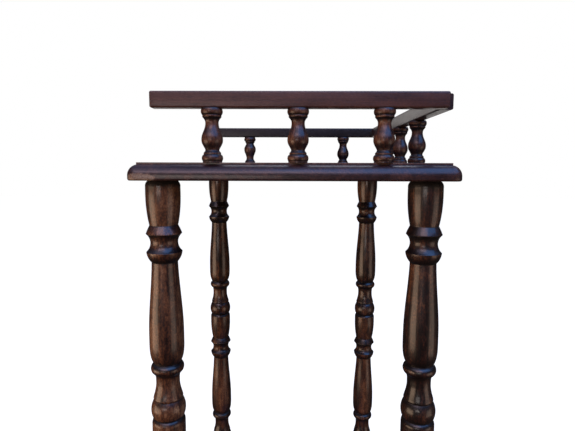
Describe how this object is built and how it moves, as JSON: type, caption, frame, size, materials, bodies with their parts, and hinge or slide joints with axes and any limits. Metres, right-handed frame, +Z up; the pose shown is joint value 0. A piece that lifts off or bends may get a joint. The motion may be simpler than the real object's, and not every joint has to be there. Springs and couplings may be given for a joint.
{
  "type": "side table",
  "caption": "Tall narrow side table with turned legs, a lower shelf and a low baluster gallery round three sides of the top.",
  "frame": {"origin": "on the floor, at the centre of the footprint", "axes": "+Z up; X across the narrow way, +X towards the long side that has the gallery rail; Y along the long way"},
  "size_m": [0.33, 0.404, 0.6908],
  "materials": {
    "board_wood": "dark walnut stain under semi-gloss lacquer",
    "turned_wood": "dark walnut stain under semi-gloss lacquer, warm grain on the turned swellings",
    "baluster_wood": "dark walnut stain under semi-gloss lacquer",
    "rail_wood": "dark walnut stain under satin lacquer",
    "dowel_wood": "bare beech",
    "screw_steel": "bright zinc plate"
  },
  "bodies": {
    "root": {"table_top": "board_wood", "lower_shelf": "board_wood", "upper_leg_front_left": "turned_wood", "lower_leg_front_left": "turned_wood", "foot_front_left": "turned_wood", "upper_leg_front_right": "turned_wood", "lower_leg_front_right": "turned_wood", "foot_front_right": "turned_wood", "upper_leg_back_left": "turned_wood", "lower_leg_back_left": "turned_wood", "foot_back_left": "turned_wood", "upper_leg_back_right": "turned_wood", "lower_leg_back_right": "turned_wood", "foot_back_right": "turned_wood", "gallery_rail_front": "rail_wood", "gallery_rail_back": "rail_wood", "gallery_rail_side": "rail_wood", "baluster_front_left": "baluster_wood", "baluster_front_middle": "baluster_wood", "baluster_front_right": "baluster_wood", "baluster_back_left": "baluster_wood", "baluster_back_middle": "baluster_wood", "baluster_back_right": "baluster_wood", "baluster_side_front": "baluster_wood", "baluster_side_middle": "baluster_wood", "baluster_side_back": "baluster_wood", "leg_top_screws": "screw_steel", "leg_joint_screws": "screw_steel", "shelf_screws": "screw_steel", "gallery_corner_dowels": "dowel_wood"}
  },
  "joints": []
}
